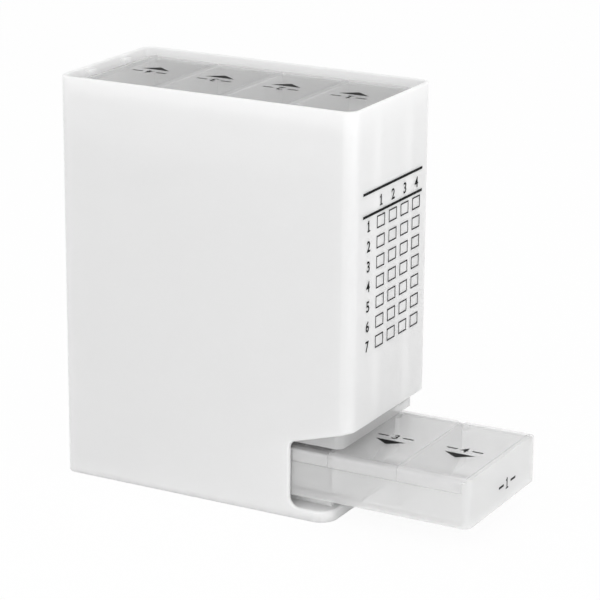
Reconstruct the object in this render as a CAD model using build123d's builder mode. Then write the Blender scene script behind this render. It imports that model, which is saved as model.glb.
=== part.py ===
import os

from build123d import *

# Week pill organizer: an open-topped case with a window at the foot of one end,
# and a stack of seven day trays, each closed by four hinged lids.
# X runs along the case towards the window, Y towards its back, Z up.
# The origin is the centre of the case's underside, and all sizes are millimetres.

# How many trays the case holds, and what each lid is called
day_count = 7
lid_names = ["morning", "noon", "evening", "night"]

# Case: one moulding, open at the top
case_length = 120.0
case_width = 61.0
case_wall = 1.5
case_corner = 5.0
rim_bevel = 0.4
rim_above_stack = 2.7

# Base of the case: a raised floor over a grid of ribs, with two rails for the trays
floor_height = 4.0
floor_thickness = 1.6
base_setback = 8.2
base_corner = 6.5
rib_thickness = 1.2
pocket_columns = 5
pocket_rows = 3
rail_height = 2.0
rail_width = 3.0
rail_setback = 3.0

# Window that lets out the lowest tray, through three of the case's walls
window_length = 24.4
window_side_height = 28.4
window_end_height = 35.0
window_foot_round = 4.0
window_corner = 3.0
window_blend = 8.0
window_bevel = 0.6

# Guide ribs down the inside of the case's end walls
guide_depth = 2.0
guide_width = 5.0
guide_spacing = 24.0
guide_drop = 1.2

# Day tray: one moulding with its compartments side by side
tray_end_clearance = 1.0
tray_side_clearance = 0.5
tray_corner = 3.0
shell_height = 18.3
end_wall = 1.6
divider = 1.6
front_wall = 2.0
back_wall = 1.2
tray_floor = 1.4
scoop_round = 3.5
foot_height = 1.8
foot_inset = 6.5
foot_wall = 1.4
corner_block = 3.2
back_slope = 2.4
stack_gap = 0.2

# Lid: a thin plate with a skirt down its front edge
lid_thickness = 1.2
lid_seam = 0.3
lid_clearance = 0.2
seat_clearance = 0.1
lid_front_round = 2.0
skirt_height = 5.4
skirt_thickness = 0.9

# Hinge: two pins on each lid snap into sockets in the tray's walls.
# Both have flats, because there are many of them; the knuckle around them is round.
knuckle_radius = 1.8
knuckle_web = 1.4
knuckle_inset = 0.2
knuckle_relief = 0.4
knuckle_splay = 1.2
pin_radius = 0.9
pin_sides = 8
pin_clearance = 0.05
pin_engagement = 0.7

# How far the first day's tray is drawn out of the window
drawn_out = 50.0

# Worked out from the sizes above
day_pitch = stack_gap + foot_height + shell_height
stack_base = floor_height + rail_height + stack_gap
case_height = floor_height + rail_height + day_count * day_pitch + rim_above_stack
inner_length = case_length - 2 * case_wall
inner_width = case_width - 2 * case_wall
inner_corner = case_corner - case_wall
base_end = case_length / 2 - base_setback
window_left = case_length / 2 - window_length
tray_length = inner_length - 2 * (guide_depth + tray_end_clearance)
tray_width = inner_width - 2 * tray_side_clearance
tray_front = -tray_width / 2
tray_back = tray_width / 2
tray_top = foot_height + shell_height
wall_top = tray_top - lid_thickness - seat_clearance
lid_count = len(lid_names)
compartment = (tray_length - 2 * end_wall - (lid_count - 1) * divider) / lid_count
socket_depth = pin_engagement + lid_clearance
skirt_bottom = tray_top - skirt_height
hinge_y = tray_back - back_wall - lid_clearance - knuckle_radius
hinge_z = tray_top - knuckle_radius

os.makedirs("parts", exist_ok=True)


def base_outline(inset):
    # Plan of the base, drawn in by inset, with its window end cut back and rounded.
    RectangleRounded(
        case_length - 2 * inset, case_width - 2 * inset, case_corner - inset
    )
    with Locations((base_end - inset, 0)):
        RectangleRounded(
            2 * case_length,
            case_width - 2 * inset,
            base_corner - inset,
            align=(Align.MAX, Align.CENTER),
            mode=Mode.INTERSECT,
        )


def half_plane(x, side):
    # Everything to one side of x, to cut a sketch in two.
    with Locations((x, 0)):
        Rectangle(
            2 * case_length, 2 * case_width, align=(side, Align.CENTER), mode=Mode.INTERSECT
        )


with BuildPart() as case:
    # Four walls with rounded upright corners
    with BuildSketch(Plane.XY):
        RectangleRounded(case_length, case_width, case_corner)
        RectangleRounded(inner_length, inner_width, inner_corner, mode=Mode.SUBTRACT)
    extrude(amount=case_height)

    # Below the window the walls stand back to the outline of the base
    with BuildSketch(Plane.XY):
        Rectangle(2 * case_length, 2 * case_width)
        half_plane(window_left, Align.MIN)
        with BuildSketch(mode=Mode.SUBTRACT):
            base_outline(0)
    extrude(amount=floor_height, mode=Mode.SUBTRACT)

    # Base
    with BuildSketch(Plane.XY):
        base_outline(0)
    extrude(amount=floor_height)

    # Window, whose upper edge rises towards the end wall
    with BuildSketch(Plane.XZ):
        with BuildLine():
            FilletPolyline(
                (case_length, floor_height),
                (window_left, floor_height),
                (window_left, window_side_height),
                (case_length / 2 - case_wall, window_end_height),
                (case_length, window_end_height),
                radius=[window_foot_round, window_corner, window_blend],
            )
            Line((case_length, window_end_height), (case_length, floor_height))
        make_face()
    extrude(amount=case_width, both=True, mode=Mode.SUBTRACT)

    # The outer edge all round the window is softened
    window_side = (
        case.edges()
        .filter_by(Axis.Z)
        .filter_by_position(Axis.X, window_left - 0.01, window_left + 0.01)
        .sort_by(Axis.Y)[0]
    )
    chamfer(window_side, length=window_bevel)

    # Bevelled rim
    chamfer(case.edges().group_by(Axis.Z)[-1], length=rim_bevel)

    # Underside: a grid of ribs below the floor
    pocket_length = (
        base_end + case_length / 2 - 2 * case_wall - (pocket_columns - 1) * rib_thickness
    ) / pocket_columns
    pocket_width = (
        inner_width - (pocket_rows - 1) * rib_thickness
    ) / pocket_rows
    with BuildSketch(Plane.XY):
        with Locations(((base_end - case_length / 2) / 2, 0)):
            with GridLocations(
                pocket_length + rib_thickness,
                pocket_width + rib_thickness,
                pocket_columns,
                pocket_rows,
            ):
                Rectangle(pocket_length, pocket_width)
        with BuildSketch(mode=Mode.INTERSECT):
            base_outline(case_wall)
    extrude(amount=floor_height - floor_thickness, mode=Mode.SUBTRACT)

    # Rails under the long sides of the trays' feet
    rail_length = base_end - rail_setback + inner_length / 2
    rail_middle = (base_end - rail_setback - inner_length / 2) / 2
    with BuildSketch(Plane.XY.offset(floor_height)):
        with Locations((rail_middle, 0)):
            with GridLocations(0, tray_width - 2 * foot_inset - foot_wall, 1, 2):
                Rectangle(rail_length, rail_width)
    extrude(amount=rail_height)

    # Guide ribs: two on each end wall
    guide_top = case_height - guide_drop
    for end, guide_bottom in ((-1, floor_height), (1, window_end_height)):
        with BuildSketch(Plane.XY.offset(guide_bottom)):
            with Locations((end * inner_length / 2, 0)):
                with GridLocations(0, guide_spacing, 1, 2):
                    Rectangle(2 * guide_depth, guide_width)
            Rectangle(inner_length + case_wall, inner_width, mode=Mode.INTERSECT)
        extrude(amount=guide_top - guide_bottom)

case.part.label = "case"
export_step(case.part, "parts/case.step")


def side_plane(place, x):
    # Upright plane across a tray at x, with the tray's y to its right and z up.
    origin = place.from_local_coords(Vector(x, 0, 0))
    return Plane(origin=origin, x_dir=place.y_dir, z_dir=place.x_dir)


def compartment_start(index):
    # Low x side of a compartment, counted towards the end with the day mark.
    return -tray_length / 2 + end_wall + index * (compartment + divider)


def make_tray(place):
    # One tray at its place: z is 0 under its foot, and its hinges are at high y.
    with BuildPart() as tray:
        with BuildSketch(place.offset(foot_height)):
            RectangleRounded(tray_length, tray_width, tray_corner)
        extrude(amount=shell_height)

        # Compartments, scooped at the front and back of their floors
        for index in range(lid_count):
            with BuildSketch(side_plane(place, compartment_start(index))) as scoop:
                with Locations((tray_front + front_wall, foot_height + tray_floor)):
                    Rectangle(
                        tray_width - front_wall - back_wall,
                        tray_top,
                        align=(Align.MIN, Align.MIN),
                    )
                fillet(scoop.vertices().group_by(Axis.Y)[0], radius=scoop_round)
            extrude(amount=compartment, mode=Mode.SUBTRACT)

        # Seat of the lids between the end walls, and of their skirts in front
        with BuildSketch(place.offset(wall_top)):
            Rectangle(tray_length - 2 * end_wall, 2 * tray_width)
        extrude(amount=tray_top - wall_top, mode=Mode.SUBTRACT)
        with BuildSketch(place.offset(skirt_bottom - lid_clearance)):
            with Locations((0, tray_front)):
                Rectangle(
                    tray_length - 2 * corner_block,
                    2 * (skirt_thickness + lid_clearance),
                )
        extrude(amount=skirt_height, mode=Mode.SUBTRACT)

        # Back edge sloped away behind the hinge
        with BuildSketch(side_plane(place, -tray_length / 2)):
            Polygon(
                (hinge_y, tray_top),
                (tray_back, tray_top),
                (tray_back, tray_top - back_slope),
                align=None,
            )
        extrude(amount=tray_length, mode=Mode.SUBTRACT)

        # Hinge sockets: blind in the end walls, open at the top of each divider
        socket_start = -tray_length / 2 + end_wall - socket_depth
        with BuildSketch(side_plane(place, socket_start)):
            with Locations((hinge_y, hinge_z)):
                RegularPolygon(
                    pin_radius + pin_clearance,
                    pin_sides,
                    major_radius=False,
                    rotation=180 / pin_sides,
                )
        extrude(amount=-2 * socket_start, mode=Mode.SUBTRACT)

        # Foot that stands on the lids of the tray below
        with BuildSketch(place):
            Rectangle(tray_length - 2 * foot_inset, tray_width - 2 * foot_inset)
            Rectangle(
                tray_length - 2 * (foot_inset + foot_wall),
                tray_width - 2 * (foot_inset + foot_wall),
                mode=Mode.SUBTRACT,
            )
        extrude(amount=foot_height)
    return tray


def make_lid(place, index):
    # One closed lid on its tray, with its plate, skirt, knuckles and pins.
    inner_left = compartment_start(index)
    inner_right = inner_left + compartment
    over_divider = (divider - lid_seam) / 2
    is_first = index == 0
    is_last = index == lid_count - 1
    plate_left = inner_left + lid_clearance if is_first else inner_left - over_divider
    plate_right = inner_right - lid_clearance if is_last else inner_right + over_divider
    skirt_inside = tray_front + skirt_thickness
    underside = tray_top - lid_thickness
    hollow_radius = knuckle_radius - lid_thickness
    with BuildPart() as lid:
        # Side profile: skirt, rounded front edge, plate and curled back edge
        with BuildSketch(side_plane(place, plate_left)):
            with BuildLine():
                Line(
                    (tray_front, skirt_bottom),
                    (tray_front, tray_top - lid_front_round),
                )
                CenterArc(
                    (tray_front + lid_front_round, tray_top - lid_front_round),
                    lid_front_round,
                    180,
                    -90,
                )
                Line((tray_front + lid_front_round, tray_top), (hinge_y, tray_top))
                CenterArc((hinge_y, hinge_z), knuckle_radius, 90, -90)
                Polyline(
                    (hinge_y + knuckle_radius, hinge_z),
                    (hinge_y + hollow_radius, hinge_z),
                    (hinge_y, underside),
                    (skirt_inside, underside),
                    (skirt_inside, skirt_bottom),
                    (tray_front, skirt_bottom),
                )
            make_face()
        extrude(amount=plate_right - plate_left)

        # Cut back beside the knuckles and in front of the tray's corner blocks
        notch_left = inner_left + lid_clearance
        notch_right = inner_right - lid_clearance
        notch_front = hinge_y - knuckle_radius - knuckle_relief
        notch_back = hinge_y + knuckle_radius
        with BuildSketch(place.offset(hinge_z - knuckle_radius)):
            if not is_first:
                Polygon(
                    (notch_left - divider, notch_front),
                    (notch_left, notch_front),
                    (notch_left + knuckle_splay, notch_back),
                    (notch_left - divider, notch_back),
                    align=None,
                )
            if not is_last:
                Polygon(
                    (notch_right + divider, notch_front),
                    (notch_right, notch_front),
                    (notch_right - knuckle_splay, notch_back),
                    (notch_right + divider, notch_back),
                    align=None,
                )
        extrude(amount=2 * tray_top, mode=Mode.SUBTRACT)
        if is_first or is_last:
            end = -1 if is_first else 1
            block_edge = end * (tray_length / 2 - corner_block - lid_clearance)
            outward = Align.MAX if is_first else Align.MIN
            with BuildSketch(place.offset(skirt_bottom)):
                with Locations((block_edge, tray_front)):
                    Rectangle(
                        tray_length, 2 * front_wall, align=(outward, Align.CENTER)
                    )
            extrude(amount=underside - skirt_bottom, mode=Mode.SUBTRACT)

        # Square webs inside the curled edge, and the pins that stand out of them
        for start, length in (
            (inner_left - pin_engagement, socket_depth + knuckle_web),
            (inner_right + pin_engagement, -socket_depth - knuckle_web),
        ):
            with BuildSketch(side_plane(place, start)):
                with Locations((hinge_y, hinge_z)):
                    RegularPolygon(pin_radius, pin_sides)
            extrude(amount=length)
        for start, length in ((notch_left, knuckle_web), (notch_right, -knuckle_web)):
            with BuildSketch(side_plane(place, start)):
                with Locations((hinge_y, hinge_z)):
                    RegularPolygon(knuckle_radius - knuckle_inset, 4, rotation=45)
            extrude(amount=length)
    return lid


# The stack: the first day's tray is drawn out, and the last is turned end for end
for day in range(1, day_count + 1):
    offset_x = drawn_out if day == 1 else 0
    height = stack_base + (day - 1) * day_pitch
    facing = (-1, 0, 0) if day == day_count else (1, 0, 0)
    place = Plane(origin=(offset_x, 0, height), x_dir=facing, z_dir=(0, 0, 1))
    tray = make_tray(place)
    tray.part.label = f"day_{day}_tray"
    export_step(tray.part, f"parts/day_{day}_tray.step")
    for index, lid_name in enumerate(lid_names):
        lid = make_lid(place, index)
        lid.part.label = f"day_{day}_lid_{lid_name}"
        export_step(lid.part, f"parts/day_{day}_lid_{lid_name}.step")
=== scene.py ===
import math

import bmesh
import bpy
import numpy as np
from mathutils import Matrix, Vector


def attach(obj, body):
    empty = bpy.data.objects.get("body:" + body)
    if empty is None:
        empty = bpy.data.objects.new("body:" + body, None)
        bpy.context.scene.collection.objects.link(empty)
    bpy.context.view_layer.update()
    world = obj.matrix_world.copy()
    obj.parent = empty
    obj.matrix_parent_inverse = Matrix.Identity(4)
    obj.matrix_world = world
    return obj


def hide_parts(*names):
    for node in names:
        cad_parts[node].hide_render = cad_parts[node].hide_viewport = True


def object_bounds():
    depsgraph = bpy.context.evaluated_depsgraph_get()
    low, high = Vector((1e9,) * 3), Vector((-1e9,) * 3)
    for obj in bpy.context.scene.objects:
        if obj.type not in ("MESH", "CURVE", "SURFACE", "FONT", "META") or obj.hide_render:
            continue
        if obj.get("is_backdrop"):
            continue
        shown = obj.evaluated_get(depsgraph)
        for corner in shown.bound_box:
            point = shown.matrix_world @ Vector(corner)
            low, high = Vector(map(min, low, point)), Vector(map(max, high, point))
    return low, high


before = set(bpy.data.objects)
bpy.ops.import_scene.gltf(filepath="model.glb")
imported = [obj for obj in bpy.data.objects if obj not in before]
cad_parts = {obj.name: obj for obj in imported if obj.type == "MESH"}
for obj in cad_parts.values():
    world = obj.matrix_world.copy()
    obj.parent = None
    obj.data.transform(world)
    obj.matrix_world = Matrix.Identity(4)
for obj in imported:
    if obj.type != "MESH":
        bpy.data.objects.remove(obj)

cad_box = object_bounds()


# The case: one white moulding in semi-gloss plastic, open at the top, with a window
# at the foot of one end. The mould leaves every edge of its thin walls a little round.

def moulded(node, edge_round, name):
    """A merged copy of a CAD node whose sharp edges are rolled to the radius edge_round.

    Points within merge_distance become one, faces within flat_angle of each other become
    one, and an edge is sharp where its two faces turn by more than sharp_angle.
    """
    merge_distance = 1e-6
    flat_angle = math.radians(0.5)
    sharp_angle = math.radians(35)
    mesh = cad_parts[node].data.copy()
    work = bmesh.new()
    work.from_mesh(mesh)
    bmesh.ops.remove_doubles(work, verts=work.verts, dist=merge_distance)
    bmesh.ops.dissolve_limit(
        work, angle_limit=flat_angle, verts=work.verts, edges=work.edges
    )
    for face in work.faces:
        face.smooth = True
    work.to_mesh(mesh)
    work.free()
    mesh.materials.clear()
    piece = bpy.data.objects.new(name, mesh)
    bpy.context.scene.collection.objects.link(piece)
    bevel = piece.modifiers.new("rolled edges", "BEVEL")
    bevel.width = edge_round
    bevel.segments = 3
    bevel.limit_method = "ANGLE"
    bevel.angle_limit = sharp_angle
    bevel.harden_normals = True
    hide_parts(node)
    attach(piece, node)
    return piece


def plastic(name, colour, roughness, relief_strength):
    """A moulded plastic: its colour drifts a little, and a fine grain roughens the gloss.

    The colour is multiplied by a slow noise between darkest and 1. A fine noise moves the
    roughness by up to gloss_spread to either side, and lifts the surface by grain_height.
    """
    drift_scale, drift_detail = 28, 2
    darkest = 0.985
    grain_scale, grain_detail = 2600, 2
    gloss_spread = 0.04
    grain_height = 0.0001
    material = bpy.data.materials.new(name)
    material.use_nodes = True
    tree = material.node_tree
    shader = tree.nodes["Principled BSDF"]
    place = tree.nodes.new("ShaderNodeTexCoord")
    drift = tree.nodes.new("ShaderNodeTexNoise")
    drift.inputs["Scale"].default_value = drift_scale
    drift.inputs["Detail"].default_value = drift_detail
    tone = tree.nodes.new("ShaderNodeMapRange")
    tone.inputs["To Min"].default_value = darkest
    tone.inputs["To Max"].default_value = 1.0
    tint = tree.nodes.new("ShaderNodeMix")
    tint.data_type = "RGBA"
    tint.blend_type = "MULTIPLY"
    tint.inputs["Factor"].default_value = 1
    tint.inputs["A"].default_value = (*colour, 1)
    grain = tree.nodes.new("ShaderNodeTexNoise")
    grain.inputs["Scale"].default_value = grain_scale
    grain.inputs["Detail"].default_value = grain_detail
    gloss = tree.nodes.new("ShaderNodeMapRange")
    gloss.inputs["To Min"].default_value = roughness - gloss_spread
    gloss.inputs["To Max"].default_value = roughness + gloss_spread
    relief = tree.nodes.new("ShaderNodeBump")
    relief.inputs["Strength"].default_value = relief_strength
    relief.inputs["Distance"].default_value = grain_height
    link = tree.links.new
    link(place.outputs["Object"], drift.inputs["Vector"])
    link(place.outputs["Object"], grain.inputs["Vector"])
    link(drift.outputs["Fac"], tone.inputs["Value"])
    link(tone.outputs["Result"], tint.inputs["B"])
    link(tint.outputs["Result"], shader.inputs["Base Color"])
    link(grain.outputs["Fac"], gloss.inputs["Value"])
    link(gloss.outputs["Result"], shader.inputs["Roughness"])
    link(grain.outputs["Fac"], relief.inputs["Height"])
    link(relief.outputs["Normal"], shader.inputs["Normal"])
    return material, shader


def scatter(shader, weight, depth):
    """Lets a share of the light into the plastic, where each colour spreads by depth."""
    shader.inputs["Subsurface Weight"].default_value = weight
    shader.inputs["Subsurface Radius"].default_value = (1, 1, 1)
    shader.inputs["Subsurface Scale"].default_value = depth


case_edge_round = 0.0004
case_white, shader = plastic("case white", (0.86, 0.86, 0.86), 0.36, 0.03)
scatter(shader, 1.0, 0.0035)
case = moulded("case", case_edge_round, "case_moulding")
case.data.materials.append(case_white)


# The day trays: seven mouldings in milky polypropylene, each with four compartments,
# stacked foot on lid in the case. Light passes through their thin walls, so that the
# dividers show faintly from outside.

last_day = 7
days = range(1, last_day + 1)
tray_edge_round = 0.00022
tray_milky, shader = plastic("tray milky", (0.84, 0.84, 0.84), 0.30, 0.01)
scatter(shader, 0.5, 0.0015)
shader.inputs["Alpha"].default_value = 0.46
for day in days:
    tray = moulded(f"day_{day}_tray", tray_edge_round, f"day_{day}_tray_moulding")
    tray.data.materials.append(tray_milky)


# The lids: four to a tray, each a thin plate with a skirt down its front edge, moulded
# in the same milky plastic. Two pins on each snap into sockets in the tray's walls.

lid_edge_round = 0.00022
lid_milky, shader = plastic("lid milky", (0.90, 0.90, 0.90), 0.24, 0.01)
scatter(shader, 0.2, 0.0015)
shader.inputs["Alpha"].default_value = 0.24
lid_names = ["morning", "noon", "evening", "night"]
for day in days:
    for lid_name in lid_names:
        node = f"day_{day}_lid_{lid_name}"
        lid = moulded(node, lid_edge_round, node + "_moulding")
        lid.data.materials.append(lid_milky)


# The marks on the lids: black pad print, a dose number between two bars above a flat
# triangle that points to the edge where the lid is lifted. They lie as a thin ink film.

def flat_text(text, height):
    """A plain figure as (points, faces), in a plane, centred on x and standing on y = 0.

    A figure 1 gets a foot and a flag, so that it isn't taken for a stroke: four corners
    each, from its stem's foot, in parts of the height.
    """
    stroke_growth = 0.018
    half_stem = 0.07
    curve = bpy.data.curves.new(text, "FONT")
    curve.body = text
    curve.offset = stroke_growth
    holder = bpy.data.objects.new(text, curve)
    mesh = holder.to_mesh()
    points = np.array([vertex.co[:2] for vertex in mesh.vertices])
    faces = [tuple(polygon.vertices) for polygon in mesh.polygons]
    holder.to_mesh_clear()
    bpy.data.objects.remove(holder)
    bpy.data.curves.remove(curve)
    low, high = points.min(0), points.max(0)
    middle = (low[0] + high[0]) / 2
    points = (points - [middle, low[1]]) * height / (high[1] - low[1])
    if text == "1":
        stem = points[:, 0].max() - half_stem * height
        foot = [(-0.26, 0), (0.26, 0), (0.26, 0.12), (-0.26, 0.12)]
        flag = [(-0.04, 1.0), (-0.28, 0.78), (-0.20, 0.69), (0.05, 0.88)]
        start = len(points)
        faces = faces + [
            tuple(range(start, start + 4)), tuple(range(start + 4, start + 8))
        ]
        added = np.array(foot + flag) * height + [stem, 0]
        points = np.vstack([points, added]) - [stem, 0]
    return points, faces


def print_film(name, shapes, origin, x_axis, y_axis, body, ink):
    """Flat shapes laid on a face as one mesh: point = origin + u * x_axis + v * y_axis."""
    points, faces = [], []
    for shape_points, shape_faces in shapes:
        start = len(points)
        points += list(shape_points)
        faces += [tuple(start + i for i in face) for face in shape_faces]
    plane = np.array([x_axis, y_axis], dtype=float)
    placed = np.array(origin) + np.array(points) @ plane
    mesh = bpy.data.meshes.new(name)
    mesh.from_pydata(placed.tolist(), [], faces)
    film = bpy.data.objects.new(name, mesh)
    bpy.context.scene.collection.objects.link(film)
    mesh.materials.append(ink)
    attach(film, body)


drawn_out = 0.05
stack_base = 0.0062
day_pitch = 0.0203


def tray_place(day):
    """A tray's middle along the case, the level of its foot, and its turn.

    The turn is -1 for the top tray, which stands end for end, and 1 for the others.
    """
    middle = drawn_out if day == 1 else 0.0
    turn = -1 if day == last_day else 1
    return middle, stack_base + (day - 1) * day_pitch, turn


black_ink, shader = plastic("black ink", (0.008, 0.008, 0.008), 0.65, 0.02)
shader.inputs["Specular IOR Level"].default_value = 0.1
ink_rise = 0.00004
tray_top = 0.0201
lid_pitch = 0.02735
first_lid = -1.5 * lid_pitch
triangle_width = 0.012
triangle_depth = 0.0042
triangle_base = -0.0057
triangle = (
    np.array([
        (-triangle_width / 2, triangle_base),
        (0, triangle_base - triangle_depth),
        (triangle_width / 2, triangle_base),
    ]),
    [(0, 1, 2)],
)
number_height = 0.0042
number_foot = -0.0037
bar_length, bar_height = 0.0042, 0.0009
bar_distance = 0.0050
corners = np.array([(-1, -1), (1, -1), (1, 1), (-1, 1)])


def bars_beside(row):
    """Two bars, one on each side of a figure whose middle is at the height row."""
    bar = corners * [bar_length / 2, bar_height / 2]
    return [(bar + [side * bar_distance, row], [(0, 1, 2, 3)]) for side in (-1, 1)]


bars = bars_beside(number_foot + number_height / 2)
for day in days:
    tray_middle, tray_foot, turned = tray_place(day)
    for index, lid_name in enumerate(lid_names):
        points, faces = flat_text(str(index + 1), number_height)
        number = (points + [0, number_foot], faces)
        lid_middle = tray_middle + turned * (first_lid + index * lid_pitch)
        print_film(
            f"day_{day}_mark_{lid_name}",
            [triangle, number] + bars,
            (lid_middle, 0, tray_foot + tray_top + ink_rise),
            (turned, 0, 0),
            (0, turned, 0),
            f"day_{day}_lid_{lid_name}",
            black_ink,
        )


# The day numbers: black pad print on the end wall of each tray, between two bars.
# The end wall of the drawn-out tray shows its number beside the case.

day_number_height = 0.0042
day_number_foot = 0.0130 - stack_base
day_number_aside = 0.0034
tray_half_length = 0.0555
bars = bars_beside(day_number_height / 2)
for day in days:
    tray_middle, tray_foot, turned = tray_place(day)
    print_film(
        f"day_{day}_number",
        [flat_text(str(day), day_number_height)] + bars,
        (
            tray_middle + turned * (tray_half_length + ink_rise),
            turned * day_number_aside,
            tray_foot + day_number_foot,
        ),
        (0, turned, 0),
        (0, 0, 1),
        f"day_{day}_tray",
        black_ink,
    )


# The filling chart: black print on the case's window end, one row for each day and one
# column for each dose, with plain numbers beside them and two rules at its head.

case_length = 0.12
row_pitch, column_pitch = 0.0073, 0.0092
box_width, box_height = 0.0062, 0.0046
box_line = 0.0005
rule_thickness = 0.0010
chart_top = 0.1205
chart_left = -0.0185
chart_number_height = 0.0040
column_numbers = chart_top - 0.0065
lower_rule = chart_top - 0.0082
first_row = chart_top - 0.0120
columns = len(lid_names)
outer = corners * (np.array([box_width, box_height]) / 2)
inner = corners * (np.array([box_width, box_height]) / 2 - box_line)
box = np.vstack([outer, inner])
box_sides = [(i, (i + 1) % 4, (i + 1) % 4 + 4, i + 4) for i in range(4)]
shapes = []
for row in range(last_day):
    v = first_row - row * row_pitch
    points, faces = flat_text(str(row + 1), chart_number_height)
    shapes.append((points + [chart_left, v - chart_number_height / 2], faces))
    for column in range(columns):
        u = chart_left + (column + 1) * column_pitch
        shapes.append((box + [u, v], box_sides))
for column in range(columns):
    u = chart_left + (column + 1) * column_pitch
    points, faces = flat_text(str(column + 1), chart_number_height)
    shapes.append((points + [u, column_numbers], faces))
rule_middle = chart_left + columns / 2 * column_pitch
rule_half = [(columns + 1) / 2 * column_pitch, rule_thickness / 2]
for v in (chart_top, lower_rule):
    shapes.append((corners * rule_half + [rule_middle, v], [(0, 1, 2, 3)]))
end_wall = (case_length / 2 + ink_rise, 0, 0)
print_film("filling_chart", shapes, end_wall, (0, 1, 0), (0, 0, 1), "case", black_ink)


# The studio: a white floor under a white sky, with wide soft lamps. A ray that shows the
# background sees plain white, and every other ray sees a matt floor and a dimmer sky.

floor_size = 9.0
floor_drop = 0.0002
floor_glow_share = 0.94
sky_strength = 0.83
mesh = bpy.data.meshes.new("floor")
mesh.from_pydata(
    [(x, y, -floor_drop) for x, y in corners * floor_size / 2], [], [(0, 1, 2, 3)]
)
floor = bpy.data.objects.new("floor", mesh)
bpy.context.scene.collection.objects.link(floor)
floor_white = bpy.data.materials.new("floor white")
floor_white.use_nodes = True
tree = floor_white.node_tree
shader = tree.nodes["Principled BSDF"]
shader.inputs["Base Color"].default_value = (0.98, 0.98, 0.98, 1)
shader.inputs["Roughness"].default_value = 0.9
glow = tree.nodes.new("ShaderNodeEmission")


def seen_directly(tree):
    """1 for rays that show the background: straight, mirrored or through clear plastic."""
    rays = tree.nodes.new("ShaderNodeLightPath")
    seen = rays.outputs["Is Camera Ray"]
    for other in ("Is Glossy Ray", "Is Transmission Ray"):
        either = tree.nodes.new("ShaderNodeMath")
        either.operation = "MAXIMUM"
        tree.links.new(seen, either.inputs[0])
        tree.links.new(rays.outputs[other], either.inputs[1])
        seen = either.outputs["Value"]
    return seen


share = tree.nodes.new("ShaderNodeMath")
share.operation = "MULTIPLY"
share.inputs[1].default_value = floor_glow_share
blend = tree.nodes.new("ShaderNodeMixShader")
tree.links.new(seen_directly(tree), share.inputs[0])
tree.links.new(share.outputs["Value"], blend.inputs["Fac"])
tree.links.new(shader.outputs["BSDF"], blend.inputs[1])
tree.links.new(glow.outputs["Emission"], blend.inputs[2])
tree.links.new(blend.outputs["Shader"], tree.nodes["Material Output"].inputs["Surface"])
floor.data.materials.append(floor_white)
floor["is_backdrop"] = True

world = bpy.data.worlds.new("studio")
bpy.context.scene.world = world
world.use_nodes = True
tree = world.node_tree
sky = tree.nodes["Background"]
sky.inputs["Color"].default_value = (1, 1, 1, 1)
sky.inputs["Strength"].default_value = sky_strength
backdrop = tree.nodes.new("ShaderNodeBackground")
backdrop.inputs["Color"].default_value = (1, 1, 1, 1)
backdrop.inputs["Strength"].default_value = 1.0
blend = tree.nodes.new("ShaderNodeMixShader")
tree.links.new(seen_directly(tree), blend.inputs["Fac"])
tree.links.new(sky.outputs["Background"], blend.inputs[1])
tree.links.new(backdrop.outputs["Background"], blend.inputs[2])
tree.links.new(blend.outputs["Shader"], tree.nodes["World Output"].inputs["Surface"])


def softbox(name, place, aim, width, height, power):
    """A rectangular lamp at place that faces aim."""
    lamp = bpy.data.lights.new(name, "AREA")
    lamp.shape = "RECTANGLE"
    lamp.size, lamp.size_y, lamp.energy = width, height, power
    holder = bpy.data.objects.new(name, lamp)
    holder.location = place
    towards = Vector(aim) - Vector(place)
    holder.rotation_euler = towards.to_track_quat("-Z", "Y").to_euler()
    bpy.context.scene.collection.objects.link(holder)


softbox("high softbox", (0.2, -1.0, 1.1), (0, 0, 0.07), 0.9, 0.25, 2.4)
softbox("right softbox", (1.3, -0.25, 0.10), (0, 0, 0.05), 0.8, 0.9, 5.4)
softbox("low softbox", (0.35, -1.3, 0.16), (0.03, 0, 0.03), 0.9, 0.3, 1.4)


# The camera: worked out from the case's edges in the photograph, with no shift. Its
# three turns are in radians, and its distance is in lengths of the case.

focal_pixels = 2635.9
frame_pixels = 600
sensor_millimetres = 36
camera_turn = -0.49696
camera_pitch = 0.30013
camera_roll = 0.0075
case_from_camera = np.array([-0.17328, 8.21745, -0.53834]) * case_length
turn = np.array(Matrix.Rotation(camera_turn, 3, "Z"))
pitch = np.array(Matrix.Rotation(camera_pitch, 3, "X"))
roll = np.array(Matrix.Rotation(camera_roll, 3, "Y"))
to_camera = roll @ pitch @ turn
right, forward, up = to_camera
pose = np.eye(4)
pose[:3, 0], pose[:3, 1], pose[:3, 2] = right, up, -forward
pose[:3, 3] = -to_camera.T @ case_from_camera
camera_data = bpy.data.cameras.new("camera")
camera_data.sensor_width = sensor_millimetres
camera_data.lens = focal_pixels / frame_pixels * sensor_millimetres
camera = bpy.data.objects.new("camera", camera_data)
camera.matrix_world = Matrix(pose.tolist())
bpy.context.scene.collection.objects.link(camera)
bpy.context.scene.camera = camera
bpy.context.scene.view_settings.view_transform = "Standard"

sizes = {"cad": cad_box, "visual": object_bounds()}
sizes = {name: [list(corner) for corner in box] for name, box in sizes.items()}
